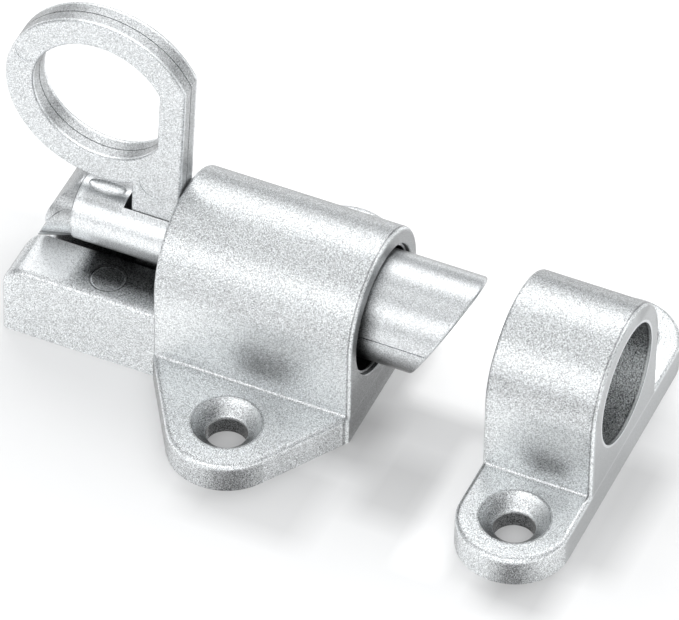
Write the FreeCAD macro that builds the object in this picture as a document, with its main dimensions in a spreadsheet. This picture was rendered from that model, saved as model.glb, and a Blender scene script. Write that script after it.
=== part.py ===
import FreeCAD, Part
import math
import os

import Sketcher

# Spring loaded gate latch: a cast body on two ears, a bevelled bolt with its return spring and
# pull ring, and the keeper that the bolt springs into. Millimetres, +Z up, +X where the bolt points.
# The origin lies on the mounting plane, midway between the body's two screw holes.

os.makedirs("parts", exist_ok=True)
doc = FreeCAD.newDocument("gate_latch")
dims = doc.addObject("Spreadsheet::Sheet", "dims")

DRIVING = {
    # Barrel
    "bore_height": 12.3,
    "barrel_radius": 8.6,
    "barrel_front": 11.4,
    "barrel_back": 11.2,
    "back_wall": 2.4,
    "mouth_radius": 7.15,
    "mouth_drop": 0.5,
    "mouth_step": 0.5,
    "mouth_inner_radius": 6.85,
    "mouth_inner_depth": 3.0,
    "mouth_edge": 0.15,
    "barrel_edge": 0.45,
    # Screw ears of both castings
    "ear_thickness": 3.6,
    "ear_tip_radius": 6.4,
    "ear_edge": 0.6,
    "crease_radius": 0.35,
    "screw_offset": 14.5,
    "screw_hole_radius": 2.25,
    "countersink_radius": 3.75,
    # Tail that carries the bolt behind the barrel
    "tail_length": 17.8,
    "tail_half_width": 8.3,
    "tail_height": 9.0,
    "tail_edge": 0.8,
    "tail_back_radius": 3.0,
    "slot_half_width": 2.1,
    "slot_floor": 2.2,
    "slot_flare": 1.8,
    "mark_radius": 1.9,
    "mark_depth": 0.2,
    "mark_back": 6.7,
    "mark_offset": 5.2,
    # Bolt
    "nose_radius": 6.0,
    "nose_rise": 0.2,
    "nose_play": 0.08,
    "nose_reach": 7.4,
    "nose_inside": 4.2,
    "nose_edge": 0.3,
    "bevel_angle": 28.2,
    "bevel_turn": 3.2,
    "seam_width": 0.12,
    "seam_depth": 0.08,
    "shaft_radius": 3.7,
    "shaft_rise": 0.8,
    "shaft_play": 0.08,
    "shaft_reach": 11.8,
    "foot_half_width": 1.8,
    "foot_length": 4.6,
    "foot_gap": 0.4,
    # Rounded and ridged rear end of the bolt
    "hump_radius": 4.3,
    "hump_ahead": 1.4,
    "hump_drop": 0.35,
    "hump_inset": 0.1,
    "ridge_radius": 3.0,
    "ridge_ahead": 0.43,
    "ridge_set_back": 0.7,
    "ridge_drop": 1.0,
    "ridge_pitch": 1.35,
    "ridge_inset": 0.3,
    "ridge_flare": 16,
    "neck_width": 0.1,
    "neck_depth": 0.25,
    "grip_gap": 0.3,
    # Relief under the ring's rim
    "relief_back": 9.1,
    "relief_half_length": 2.1,
    "relief_half_width": 1.15,
    "relief_depth": 0.45,
    # Pull ring
    "ring_radius": 10.8,
    "ring_hole_radius": 7.65,
    "ring_thickness": 3.4,
    "ring_chord": 6.7,
    "ring_rise": 16.83,
    "ring_set_back": 6.81,
    "ring_edge": 0.3,
    "ring_lean": 2.4,
    "ring_mark_depth": 0.06,
    "rim_mark_radius": 1.2,
    "rim_mark_back": 15.25,
    "rim_mark_height": 20.45,
    "stem_mark_radius": 1.9,
    "stem_mark_height": 7.85,
    "ring_stop_gap": 0.04,
    "stem_half_width": 2.73,
    "stem_side_play": 0.08,
    "stem_front_room": 0.35,
    "stem_back_room": 0.62,
    "stem_end_play": 0.15,
    # Cross pin of the ring
    "pin_radius": 1.2,
    "pin_play": 0.05,
    "pin_blind_wall": 0.75,
    "pin_recess": 0.25,
    # Return spring
    "wire_radius": 0.4,
    "spring_turns": 6,
    "spring_play": 0.25,
    "spring_end_play": 0.05,
    # Keeper
    "keeper_gap": 15.0,
    "keeper_depth": 12.3,
    "keeper_radius": 8.7,
    "keeper_bore_radius": 6.65,
}

DERIVED = {
    "back_x": "=-barrel_back",
    "inner_back_x": "=back_wall - barrel_back",
    "barrel_length": "=barrel_front + barrel_back",
    "tail_x": "=-barrel_back - tail_length",
    "nose_height": "=bore_height + nose_rise",
    "mouth_height": "=bore_height - mouth_drop",
    "shaft_height": "=bore_height + shaft_rise",
    "shaft_end_x": "=-barrel_back - shaft_reach",
    "shoulder_x": "=barrel_front - nose_inside",
    "nose_tip_x": "=barrel_front + nose_reach + nose_radius * tan(bevel_angle * 1deg)",
    "barrel_top": "=bore_height + barrel_radius",
    "pivot_x": "=-barrel_back - ring_stop_gap - stem_half_width / cos(ring_lean * 1deg)"
               " - (bore_height + barrel_radius - shaft_height) * tan(ring_lean * 1deg)",
    "keeper_x": "=barrel_front + keeper_gap",
    "keeper_middle_x": "=barrel_front + keeper_gap + keeper_depth / 2",
}

row = 0
for name, number in DRIVING.items():
    row += 1
    dims.set("A%d" % row, name)
    dims.set("B%d" % row, str(number))
    dims.setAlias("B%d" % row, name)
for name, formula in DERIVED.items():
    row += 1
    dims.set("A%d" % row, name)
    dims.set("B%d" % row, formula)
    dims.setAlias("B%d" % row, name)
doc.recompute()


def val(name):
    """Number of a named cell."""
    number = dims.get(name)
    return float(getattr(number, "Value", number))


# Helpers for sketches
ORIGIN = (-1, 1)


def new_body(label):
    body = doc.addObject("PartDesign::Body", label)
    body.Label = label
    return body


def new_sketch(body, name, role, height=None):
    """Sketch on one of the body's own origin planes, moved along its normal."""
    sketch = body.newObject("Sketcher::SketchObject", name)
    plane = next(f for f in body.Origin.OriginFeatures if f.Role == role)
    sketch.AttachmentSupport = [(plane, "")]
    sketch.MapMode = "FlatFace"
    if height:
        sketch.setExpression("AttachmentOffset.Base.z", height)
    return sketch


def line(sketch, a, b):
    return sketch.addGeometry(Part.LineSegment(FreeCAD.Vector(a[0], a[1]), FreeCAD.Vector(b[0], b[1])))


def arc(sketch, centre, radius, start, end):
    circle = Part.Circle(FreeCAD.Vector(centre[0], centre[1]), FreeCAD.Vector(0, 0, 1), radius)
    return sketch.addGeometry(Part.ArcOfCircle(circle, start, end))


def circle(sketch, centre, radius):
    return sketch.addGeometry(Part.Circle(FreeCAD.Vector(centre[0], centre[1]), FreeCAD.Vector(0, 0, 1), radius))


def tie(sketch, *pairs):
    for first, second in pairs:
        sketch.addConstraint(Sketcher.Constraint("Coincident", *first, *second))


def smooth(sketch, *pairs):
    for first, second in pairs:
        sketch.addConstraint(Sketcher.Constraint("Tangent", *first, *second))


def upright(sketch, *lines):
    for item in lines:
        sketch.addConstraint(Sketcher.Constraint("Vertical", item))


def level(sketch, *lines):
    for item in lines:
        sketch.addConstraint(Sketcher.Constraint("Horizontal", item))


def on_axis(sketch, point, axis):
    """Point on the sketch's own X or Y axis."""
    sketch.addConstraint(Sketcher.Constraint("PointOnObject", *point, -1 if axis == "X" else -2))


def radius(sketch, item, cell):
    index = sketch.addConstraint(Sketcher.Constraint("Radius", item, sketch.Geometry[item].Radius))
    sketch.setExpression("Constraints[%d]" % index, cell)


def across(sketch, point, cell, kind="DistanceX", start=ORIGIN):
    """Signed distance from start to point along one sketch axis."""
    a = sketch.getPoint(*start)
    b = sketch.getPoint(*point)
    size = b.x - a.x if kind == "DistanceX" else b.y - a.y
    if size < 0:
        index = sketch.addConstraint(Sketcher.Constraint(kind, *point, *start, -size))
        cell = "-(%s)" % cell
    else:
        index = sketch.addConstraint(Sketcher.Constraint(kind, *start, *point, size))
    sketch.setExpression("Constraints[%d]" % index, cell)


def up(sketch, point, cell, start=ORIGIN):
    across(sketch, point, cell, "DistanceY", start)


def pad(body, name, sketch, length, symmetric=False):
    feature = body.newObject("PartDesign::Pad", name)
    feature.Profile = sketch
    feature.setExpression("Length", length)
    if symmetric:
        feature.SideType = "Symmetric"
    return feature


def pocket(body, name, sketch, length, symmetric=False):
    feature = body.newObject("PartDesign::Pocket", name)
    feature.Profile = sketch
    feature.setExpression("Length", length)
    if symmetric:
        feature.SideType = "Symmetric"
    return feature


def edges_where(feature, test):
    return ["Edge%d" % (i + 1) for i, edge in enumerate(feature.Shape.Edges) if not edge.Degenerated and test(edge)]


def dress(body, kind, name, base, test, size):
    """Fillet or chamfer on the edges of base that pass the test."""
    doc.recompute()
    feature = body.newObject("PartDesign::" + kind, name)
    feature.Base = (base, edges_where(base, test))
    feature.setExpression("Radius" if kind == "Fillet" else "Size", size)
    doc.recompute()
    return feature


def near(a, b, gap=0.01):
    return abs(a - b) < gap


def arch_section(body, name, height, radius_cell, centre_cell):
    """Upright sides on the mounting plane with a half round top, square to the X axis."""
    r = val(radius_cell)
    z = val(centre_cell)
    sketch = new_sketch(body, name, "YZ_Plane", height)
    base = line(sketch, (-r, 0), (r, 0))
    side = line(sketch, (r, 0), (r, z))
    top = arc(sketch, (0, z), r, 0, math.pi)
    other = line(sketch, (-r, z), (-r, 0))
    tie(sketch, ((base, 2), (side, 1)), ((other, 2), (base, 1)))
    smooth(sketch, ((side, 2), (top, 1)), ((top, 2), (other, 1)))
    level(sketch, base)
    upright(sketch, side)
    on_axis(sketch, (top, 3), "Y")
    on_axis(sketch, (base, 1), "X")
    radius(sketch, top, "dims." + radius_cell)
    up(sketch, (top, 3), "dims." + centre_cell)
    return sketch


def arch_rim(edge):
    """Outline of an arch's two end faces, without its foot."""
    return near(edge.BoundBox.XLength, 0) and edge.BoundBox.ZMax > val("barrel_edge") / 10


def screw_holes(body, middle_x):
    """Two countersunk screw holes, one through each ear."""
    sketch = new_sketch(body, "screw_hole_circles", "XY_Plane", "dims.ear_thickness")
    x = val(middle_x) if middle_x else 0
    for side in (-1, 1):
        hole = circle(sketch, (x, side * val("screw_offset")), val("screw_hole_radius"))
        radius(sketch, hole, "dims.screw_hole_radius")
        if middle_x:
            across(sketch, (hole, 3), "dims." + middle_x)
        else:
            on_axis(sketch, (hole, 3), "Y")
        up(sketch, (hole, 3), "dims.screw_offset * %d" % side)
    holes = pocket(body, "screw_holes", sketch, "dims.ear_thickness * 2")
    top = val("ear_thickness")
    r = val("screw_hole_radius")

    def rim(edge):
        return hasattr(edge.Curve, "Radius") and near(edge.Curve.Radius, r) and near(edge.CenterOfMass.z, top)

    return dress(body, "Chamfer", "countersinks", holes, rim, "dims.countersink_radius - dims.screw_hole_radius")


def creases(body, wall_cell, start, length):
    """Hollow corner strips where the upright walls stand on the ears."""
    sketch = new_sketch(body, "crease_section", "YZ_Plane", start)
    wall = val(wall_cell)
    top = val("ear_thickness")
    r = val("crease_radius")
    for side in (-1, 1):
        low = line(sketch, (side * (wall - r), top - r), (side * (wall + r), top - r))
        outer = line(sketch, (side * (wall + r), top - r), (side * (wall + r), top))
        first = math.pi if side > 0 else 3 * math.pi / 2
        hollow = arc(sketch, (side * (wall + r), top + r), r, first, first + math.pi / 2)
        foot_end, wall_end = (2, 1) if side > 0 else (1, 2)
        upper = line(sketch, (side * wall, top + r), (side * (wall - r), top + r))
        inner = line(sketch, (side * (wall - r), top + r), (side * (wall - r), top - r))
        tie(sketch, ((low, 2), (outer, 1)), ((outer, 2), (hollow, foot_end)), ((hollow, wall_end), (upper, 1)),
            ((upper, 2), (inner, 1)), ((inner, 2), (low, 1)))
        level(sketch, low, upper)
        upright(sketch, outer, inner)
        radius(sketch, hollow, "dims.crease_radius")
        across(sketch, (hollow, 3), "(dims.%s + dims.crease_radius) * %d" % (wall_cell, side))
        up(sketch, (hollow, 3), "dims.ear_thickness + dims.crease_radius")
        across(sketch, (outer, 1), "(dims.%s + dims.crease_radius) * %d" % (wall_cell, side))
        across(sketch, (inner, 1), "(dims.%s - dims.crease_radius) * %d" % (wall_cell, side))
        up(sketch, (upper, 1), "dims.ear_thickness + dims.crease_radius")
        up(sketch, (low, 1), "dims.ear_thickness - dims.crease_radius")
    return pad(body, "crease_strips", sketch, length)


# Latch body: barrel, two ears and tail in one casting
latch = new_body("latch_body")
section = arch_section(latch, "barrel_section", "dims.back_x", "barrel_radius", "bore_height")
barrel = pad(latch, "barrel", section, "dims.barrel_length")
dress(latch, "Fillet", "barrel_edges", barrel, arch_rim, "dims.barrel_edge")

ears = new_sketch(latch, "ear_outline", "XY_Plane")
tip = val("ear_tip_radius")
offset = val("screw_offset")


def tangent_point(corner, turn):
    """Where the line from a corner touches the tip circle of the +Y ear."""
    dx = corner[0]
    dy = corner[1] - offset
    angle = math.atan2(dy, dx) + turn * math.acos(tip / math.hypot(dx, dy))
    return (tip * math.cos(angle), offset + tip * math.sin(angle)), angle


front_corner = (val("barrel_front"), val("barrel_radius"))
back_corner = (-val("barrel_back"), val("barrel_radius"))
front_touch, front_angle = tangent_point(front_corner, 1)
back_touch, back_angle = tangent_point(back_corner, -1)
if back_angle < front_angle:
    back_angle += 2 * math.pi
front = line(ears, (front_corner[0], -front_corner[1]), front_corner)
far_front = line(ears, front_corner, front_touch)
far_tip = arc(ears, (0, offset), tip, front_angle, back_angle)
far_back = line(ears, back_touch, back_corner)
back = line(ears, back_corner, (back_corner[0], -back_corner[1]))
near_back = line(ears, (back_corner[0], -back_corner[1]), (back_touch[0], -back_touch[1]))
near_tip = arc(ears, (0, -offset), tip, -back_angle, -front_angle)
near_front = line(ears, (front_touch[0], -front_touch[1]), (front_corner[0], -front_corner[1]))
tie(ears, ((front, 2), (far_front, 1)), ((far_back, 2), (back, 1)), ((back, 2), (near_back, 1)),
    ((near_front, 2), (front, 1)))
smooth(ears, ((far_front, 2), (far_tip, 1)), ((far_tip, 2), (far_back, 1)), ((near_back, 2), (near_tip, 1)),
       ((near_tip, 2), (near_front, 1)))
upright(ears, front, back)
for item, side in ((far_tip, 1), (near_tip, -1)):
    on_axis(ears, (item, 3), "Y")
    up(ears, (item, 3), "dims.screw_offset * %d" % side)
    radius(ears, item, "dims.ear_tip_radius")
across(ears, (front, 1), "dims.barrel_front")
across(ears, (back, 1), "dims.back_x")
for item in ((front, 2), (back, 1)):
    up(ears, item, "dims.barrel_radius")
for item in ((front, 1), (back, 2)):
    up(ears, item, "-dims.barrel_radius")
ear_plate = pad(latch, "ears", ears, "dims.ear_thickness")


# Tail block from its side view, rounded over at the free end
tail_body = new_body("tail_block")
side_view = new_sketch(tail_body, "tail_side_view", "XZ_Plane")
x0 = val("tail_x")
x1 = val("inner_back_x")
top = val("tail_height")
r = val("tail_back_radius")
base = line(side_view, (x0, 0), (x1, 0))
inner_end = line(side_view, (x1, 0), (x1, top))
upper = line(side_view, (x1, top), (x0 + r, top))
back_round = arc(side_view, (x0 + r, top - r), r, math.pi / 2, math.pi)
outer_end = line(side_view, (x0, top - r), (x0, 0))
tie(side_view, ((base, 2), (inner_end, 1)), ((inner_end, 2), (upper, 1)), ((outer_end, 2), (base, 1)))
smooth(side_view, ((upper, 2), (back_round, 1)), ((back_round, 2), (outer_end, 1)))
level(side_view, base, upper)
upright(side_view, inner_end, outer_end)
on_axis(side_view, (base, 1), "X")
across(side_view, (base, 1), "dims.tail_x")
across(side_view, (base, 2), "dims.inner_back_x")
up(side_view, (inner_end, 2), "dims.tail_height")
radius(side_view, back_round, "dims.tail_back_radius")
tail = pad(tail_body, "tail", side_view, "dims.tail_half_width * 2", symmetric=True)


def tail_rim(edge):
    """Outline of the tail's two side faces, without its foot and its inner end."""
    box = edge.BoundBox
    return (near(box.YLength, 0) and box.ZMax > val("tail_edge") / 10
            and not (near(box.XMin, val("inner_back_x")) and near(box.XMax, val("inner_back_x"))))


dress(tail_body, "Fillet", "tail_edges", tail, tail_rim, "dims.tail_edge")
marks = new_sketch(tail_body, "mark_circles", "XY_Plane", "dims.tail_height")
for side in (-1, 1):
    mark = circle(marks, (-val("barrel_back") - val("mark_back"), side * val("mark_offset")), val("mark_radius"))
    radius(marks, mark, "dims.mark_radius")
    across(marks, (mark, 3), "dims.back_x - dims.mark_back")
    up(marks, (mark, 3), "dims.mark_offset * %d" % side)
pocket(tail_body, "ejector_marks", marks, "dims.mark_depth")


def ear_rim(edge):
    """Top edges round the free outline of the ears."""
    box = edge.BoundBox
    if not (near(box.ZMin, val("ear_thickness")) and near(box.ZMax, val("ear_thickness"))):
        return False
    return max(abs(box.YMin), abs(box.YMax)) > val("barrel_radius") + val("crease_radius") + 0.5


dress(latch, "Fillet", "ear_edges", latch.Tip, ear_rim, "dims.ear_edge")
creases(latch, "barrel_radius", "dims.back_x + dims.barrel_edge", "dims.barrel_length - 2 * dims.barrel_edge")
with_tail = latch.newObject("PartDesign::Boolean", "tail_on_barrel")
with_tail.Type = "Fuse"
with_tail.setObjects([tail_body])

bore_sketch = new_sketch(latch, "guide_bore_circle", "YZ_Plane", "dims.barrel_front")
bore = circle(bore_sketch, (0, val("nose_height")), val("nose_radius") + val("nose_play"))
radius(bore_sketch, bore, "dims.nose_radius + dims.nose_play")
on_axis(bore_sketch, (bore, 3), "Y")
up(bore_sketch, (bore, 3), "dims.nose_height")
pocket(latch, "guide_bore", bore_sketch, "dims.barrel_length - dims.back_wall")

mouth_sketch = new_sketch(latch, "mouth_circle", "YZ_Plane", "dims.barrel_front")
mouth = circle(mouth_sketch, (0, val("mouth_height")), val("mouth_radius"))
radius(mouth_sketch, mouth, "dims.mouth_radius")
on_axis(mouth_sketch, (mouth, 3), "Y")
up(mouth_sketch, (mouth, 3), "dims.mouth_height")
mouth_recess = pocket(latch, "mouth", mouth_sketch, "dims.mouth_step")


def mouth_rim(edge):
    curve = edge.Curve
    return (hasattr(curve, "Radius") and near(curve.Radius, val("mouth_radius"))
            and near(edge.BoundBox.XMin, val("barrel_front")))


dress(latch, "Fillet", "mouth_edge", mouth_recess, mouth_rim, "dims.mouth_edge")
inner_sketch = new_sketch(latch, "inner_mouth_circle", "YZ_Plane", "dims.barrel_front")
inner_mouth = circle(inner_sketch, (0, val("mouth_height")), val("mouth_inner_radius"))
radius(inner_sketch, inner_mouth, "dims.mouth_inner_radius")
on_axis(inner_sketch, (inner_mouth, 3), "Y")
up(inner_sketch, (inner_mouth, 3), "dims.mouth_height")
pocket(latch, "inner_mouth", inner_sketch, "dims.mouth_inner_depth")

shaft_way_sketch = new_sketch(latch, "shaft_way_circle", "YZ_Plane", "dims.inner_back_x")
shaft_way = circle(shaft_way_sketch, (0, val("shaft_height")), val("shaft_radius") + val("shaft_play"))
radius(shaft_way_sketch, shaft_way, "dims.shaft_radius + dims.shaft_play")
on_axis(shaft_way_sketch, (shaft_way, 3), "Y")
up(shaft_way_sketch, (shaft_way, 3), "dims.shaft_height")
pocket(latch, "shaft_way", shaft_way_sketch, "dims.back_wall + dims.tail_length")

slot_sketch = new_sketch(latch, "slot_outline", "XY_Plane", "dims.tail_height")
half = val("slot_half_width")
flare = val("slot_flare")
x0 = val("tail_x")
x1 = val("back_x")
front_end = line(slot_sketch, (x1, -half), (x1, half))
far_side = line(slot_sketch, (x1, half), (x0 + flare, half))
far_flare = arc(slot_sketch, (x0 + flare, half + flare), flare, math.pi, 3 * math.pi / 2)
far_lead = line(slot_sketch, (x0, half + flare), (x0 - flare, half + flare))
back_end = line(slot_sketch, (x0 - flare, half + flare), (x0 - flare, -half - flare))
near_lead = line(slot_sketch, (x0 - flare, -half - flare), (x0, -half - flare))
near_flare = arc(slot_sketch, (x0 + flare, -half - flare), flare, math.pi / 2, math.pi)
near_side = line(slot_sketch, (x0 + flare, -half), (x1, -half))
tie(slot_sketch, ((front_end, 2), (far_side, 1)), ((far_flare, 1), (far_lead, 1)), ((far_lead, 2), (back_end, 1)),
    ((back_end, 2), (near_lead, 1)), ((near_lead, 2), (near_flare, 2)), ((near_side, 2), (front_end, 1)))
smooth(slot_sketch, ((far_side, 2), (far_flare, 2)), ((near_flare, 1), (near_side, 1)))
upright(slot_sketch, front_end, back_end)
level(slot_sketch, far_side, near_side, far_lead, near_lead)
for item, side in ((far_flare, 1), (near_flare, -1)):
    radius(slot_sketch, item, "dims.slot_flare")
    across(slot_sketch, (item, 3), "dims.tail_x + dims.slot_flare")
    up(slot_sketch, (item, 3), "(dims.slot_half_width + dims.slot_flare) * %d" % side)
across(slot_sketch, (front_end, 1), "dims.back_x")
across(slot_sketch, (back_end, 1), "dims.tail_x - dims.slot_flare")
pocket(latch, "guide_slot", slot_sketch, "dims.tail_height - dims.slot_floor")
latch.Tip = screw_holes(latch, None)


# Keeper: an arch with the bolt's hole, on two rounded ears
keeper = new_body("keeper")
keeper_section = arch_section(keeper, "arch_section", "dims.keeper_x", "keeper_radius", "bore_height")
arch = pad(keeper, "arch", keeper_section, "dims.keeper_depth")
dress(keeper, "Fillet", "arch_edges", arch, arch_rim, "dims.barrel_edge")

foot_plate = new_body("keeper_foot")
keeper_ears = new_sketch(foot_plate, "keeper_ear_outline", "XY_Plane")
half = val("keeper_depth") / 2
middle = val("keeper_middle_x")
left = line(keeper_ears, (middle - half, -offset), (middle - half, offset))
far_end = arc(keeper_ears, (middle, offset), half, 0, math.pi)
right = line(keeper_ears, (middle + half, offset), (middle + half, -offset))
near_end = arc(keeper_ears, (middle, -offset), half, math.pi, 2 * math.pi)
smooth(keeper_ears, ((left, 2), (far_end, 2)), ((far_end, 1), (right, 1)), ((right, 2), (near_end, 2)),
       ((near_end, 1), (left, 1)))
upright(keeper_ears, left)
radius(keeper_ears, far_end, "dims.keeper_depth / 2")
across(keeper_ears, (far_end, 3), "dims.keeper_middle_x")
up(keeper_ears, (far_end, 3), "dims.screw_offset")
up(keeper_ears, (near_end, 3), "-dims.screw_offset")
keeper_plate = pad(foot_plate, "keeper_ears", keeper_ears, "dims.ear_thickness")


def plate_top(edge):
    return near(edge.BoundBox.ZMin, val("ear_thickness")) and near(edge.BoundBox.ZMax, val("ear_thickness"))


dress(foot_plate, "Fillet", "keeper_ear_edges", keeper_plate, plate_top, "dims.ear_edge")
union = keeper.newObject("PartDesign::Boolean", "arch_on_foot")
union.Type = "Fuse"
union.setObjects([foot_plate])
creases(keeper, "keeper_radius", "dims.keeper_x + dims.barrel_edge", "dims.keeper_depth - 2 * dims.barrel_edge")

keeper_bore_sketch = new_sketch(keeper, "keeper_bore_circle", "YZ_Plane", "dims.keeper_x + dims.keeper_depth")
keeper_bore = circle(keeper_bore_sketch, (0, val("bore_height")), val("keeper_bore_radius"))
radius(keeper_bore_sketch, keeper_bore, "dims.keeper_bore_radius")
on_axis(keeper_bore_sketch, (keeper_bore, 3), "Y")
up(keeper_bore_sketch, (keeper_bore, 3), "dims.bore_height")
pocket(keeper, "keeper_bore", keeper_bore_sketch, "dims.keeper_depth")
keeper.Tip = screw_holes(keeper, "keeper_middle_x")


# Pull ring: a flat D on a stem, drawn about its pivot and tipped forward on the barrel
ring = new_body("pull_ring")


def ring_outline(sketch, grow=0, cell=""):
    """Outline of the rim and its stem, moved outwards by grow."""
    w = val("stem_half_width") + grow
    cx = -val("ring_set_back")
    cz = val("ring_rise")
    big = val("ring_radius") + grow
    front_angle = math.acos((w - cx) / big)
    back_angle = 2 * math.pi - math.acos((-w - cx) / big)
    front_top = (w, cz + big * math.sin(front_angle))
    back_low = (-w, cz + big * math.sin(back_angle))
    front_side = line(sketch, (w, 0), front_top)
    rim = arc(sketch, (cx, cz), big, front_angle, back_angle)
    back_side = line(sketch, back_low, (-w, 0))
    foot_round = arc(sketch, (0, 0), w, math.pi, 2 * math.pi)
    tie(sketch, ((front_side, 2), (rim, 1)), ((rim, 2), (back_side, 1)), ((foot_round, 3), ORIGIN))
    smooth(sketch, ((back_side, 2), (foot_round, 1)), ((foot_round, 2), (front_side, 1)))
    upright(sketch, front_side, back_side)
    radius(sketch, foot_round, "dims.stem_half_width" + cell)
    radius(sketch, rim, "dims.ring_radius" + cell)
    across(sketch, (rim, 3), "-dims.ring_set_back")
    up(sketch, (rim, 3), "dims.ring_rise")


def finger_outline(sketch, grow=0, cell=""):
    """Round hole with one straight side, moved outwards by grow."""
    cx = -val("ring_set_back")
    cz = val("ring_rise")
    small = val("ring_hole_radius") + grow
    chord = val("ring_chord") + grow
    angle = math.acos(chord / small)
    round_side = arc(sketch, (cx, cz), small, angle, 2 * math.pi - angle)
    flat_side = line(sketch, (cx + chord, cz - small * math.sin(angle)), (cx + chord, cz + small * math.sin(angle)))
    tie(sketch, ((round_side, 2), (flat_side, 1)), ((flat_side, 2), (round_side, 1)))
    upright(sketch, flat_side)
    radius(sketch, round_side, "dims.ring_hole_radius" + cell)
    across(sketch, (round_side, 3), "-dims.ring_set_back")
    up(sketch, (round_side, 3), "dims.ring_rise")
    across(sketch, (flat_side, 1), "dims.ring_chord - dims.ring_set_back" + cell)


outline = new_sketch(ring, "ring_outline", "XZ_Plane")
ring_outline(outline)
pad(ring, "ring_plate", outline, "dims.ring_thickness", symmetric=True)
finger_sketch = new_sketch(ring, "finger_hole_outline", "XZ_Plane")
finger_outline(finger_sketch)
finger_hole = pocket(ring, "finger_hole", finger_sketch, "dims.ring_thickness * 2", symmetric=True)


def ring_face_edge(edge):
    box = edge.BoundBox
    return near(box.YLength, 0) and near(abs(box.YMin), val("ring_thickness") / 2)


dress(ring, "Fillet", "ring_edges", finger_hole, ring_face_edge, "dims.ring_edge")
room = val("ring_edge")
depth = val("seam_depth")
for name, draw, outer, inner in (("rim_seam", ring_outline, room, -depth), ("hole_seam", finger_outline, depth, -room)):
    seam = new_sketch(ring, name + "_outlines", "XZ_Plane")
    draw(seam, outer, " + dims.ring_edge" if outer == room else " + dims.seam_depth")
    draw(seam, inner, " - dims.seam_depth" if outer == room else " - dims.ring_edge")
    pocket(ring, name, seam, "dims.seam_width", symmetric=True)
mark_sketch = new_sketch(ring, "ring_mark_circles", "XZ_Plane", "dims.ring_thickness / 2")
rim_mark = circle(mark_sketch, (-val("rim_mark_back"), val("rim_mark_height")), val("rim_mark_radius"))
radius(mark_sketch, rim_mark, "dims.rim_mark_radius")
across(mark_sketch, (rim_mark, 3), "-dims.rim_mark_back")
up(mark_sketch, (rim_mark, 3), "dims.rim_mark_height")
stem_mark = circle(mark_sketch, (0, val("stem_mark_height")), val("stem_mark_radius"))
radius(mark_sketch, stem_mark, "dims.stem_mark_radius")
on_axis(mark_sketch, (stem_mark, 3), "Y")
up(mark_sketch, (stem_mark, 3), "dims.stem_mark_height")
pocket(ring, "ring_marks", mark_sketch, "dims.ring_mark_depth")
pivot_sketch = new_sketch(ring, "pivot_circle", "XZ_Plane")
pivot_hole = circle(pivot_sketch, (0, 0), val("pin_radius") + val("pin_play"))
radius(pivot_sketch, pivot_hole, "dims.pin_radius + dims.pin_play")
tie(pivot_sketch, ((pivot_hole, 3), ORIGIN))
ring.Tip = pocket(ring, "pivot_hole", pivot_sketch, "dims.ring_thickness * 2", symmetric=True)
ring.Placement = FreeCAD.Placement(FreeCAD.Vector(0, 0, 0), FreeCAD.Rotation(FreeCAD.Vector(0, 1, 0), val("ring_lean")))
ring.setExpression("Placement.Base.x", "dims.pivot_x")
ring.setExpression("Placement.Base.z", "dims.shaft_height")
ring.setExpression("Placement.Rotation.Angle", "dims.ring_lean * 1deg")


# Helpers for solids built from primitives
ALONG_X = FreeCAD.Rotation(FreeCAD.Vector(0, 1, 0), 90)
ALONG_Y = FreeCAD.Rotation(FreeCAD.Vector(1, 0, 0), -90)


def place(item, x, y, z):
    item.setExpression("Placement.Base.x", x)
    item.setExpression("Placement.Base.y", y)
    item.setExpression("Placement.Base.z", z)


def rod(name, rotation, radius_cell, length, x, y, z):
    item = doc.addObject("Part::Cylinder", name)
    item.Placement.Rotation = rotation
    item.setExpression("Radius", radius_cell)
    item.setExpression("Height", length)
    place(item, x, y, z)
    return item


def block(name, length, width, height, x, y, z):
    item = doc.addObject("Part::Box", name)
    item.setExpression("Length", length)
    item.setExpression("Width", width)
    item.setExpression("Height", height)
    place(item, x, y, z)
    return item


def join(name, *items):
    item = doc.addObject("Part::MultiFuse", name)
    item.Shapes = list(items)
    return item


def cut(name, base, *tools):
    item = doc.addObject("Part::Cut", name)
    item.Base = base
    item.Tool = tools[0] if len(tools) == 1 else join(name + "_tools", *tools)
    return item


def shared(name, *items):
    item = doc.addObject("Part::MultiCommon", name)
    item.Shapes = list(items)
    return item


# Bolt: bevelled nose, thinner shaft set a little higher, guide foot and ridged rear end in one casting
nose = new_body("nose")
nose_circle = new_sketch(nose, "nose_circle", "YZ_Plane", "dims.shoulder_x")
disc = circle(nose_circle, (0, val("nose_height")), val("nose_radius"))
radius(nose_circle, disc, "dims.nose_radius")
on_axis(nose_circle, (disc, 3), "Y")
up(nose_circle, (disc, 3), "dims.nose_height")
pad(nose, "nose_bar", nose_circle, "dims.nose_tip_x - dims.shoulder_x + dims.nose_edge")
bevel_sketch = new_sketch(nose, "bevel_outline", "XZ_Plane")
turned = FreeCAD.Rotation(FreeCAD.Vector(0, -1, 0), val("bevel_turn"))
bevel_sketch.AttachmentOffset = FreeCAD.Placement(FreeCAD.Vector(0, 0, 0), turned)
bevel_sketch.setExpression("AttachmentOffset.Rotation.Angle", "dims.bevel_turn * 1deg")
rise = val("nose_radius") + 1
run = rise * math.tan(math.radians(val("bevel_angle")))
mid = (val("barrel_front") + val("nose_reach"), val("nose_height"))
bevel_line = line(bevel_sketch, (mid[0] - run, mid[1] - rise), (mid[0] + run, mid[1] + rise))
top_line = line(bevel_sketch, (mid[0] + run, mid[1] + rise), (mid[0] + 2 * run, mid[1] + rise))
right_line = line(bevel_sketch, (mid[0] + 2 * run, mid[1] + rise), (mid[0] + 2 * run, mid[1] - rise))
low_line = line(bevel_sketch, (mid[0] + 2 * run, mid[1] - rise), (mid[0] - run, mid[1] - rise))
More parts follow.
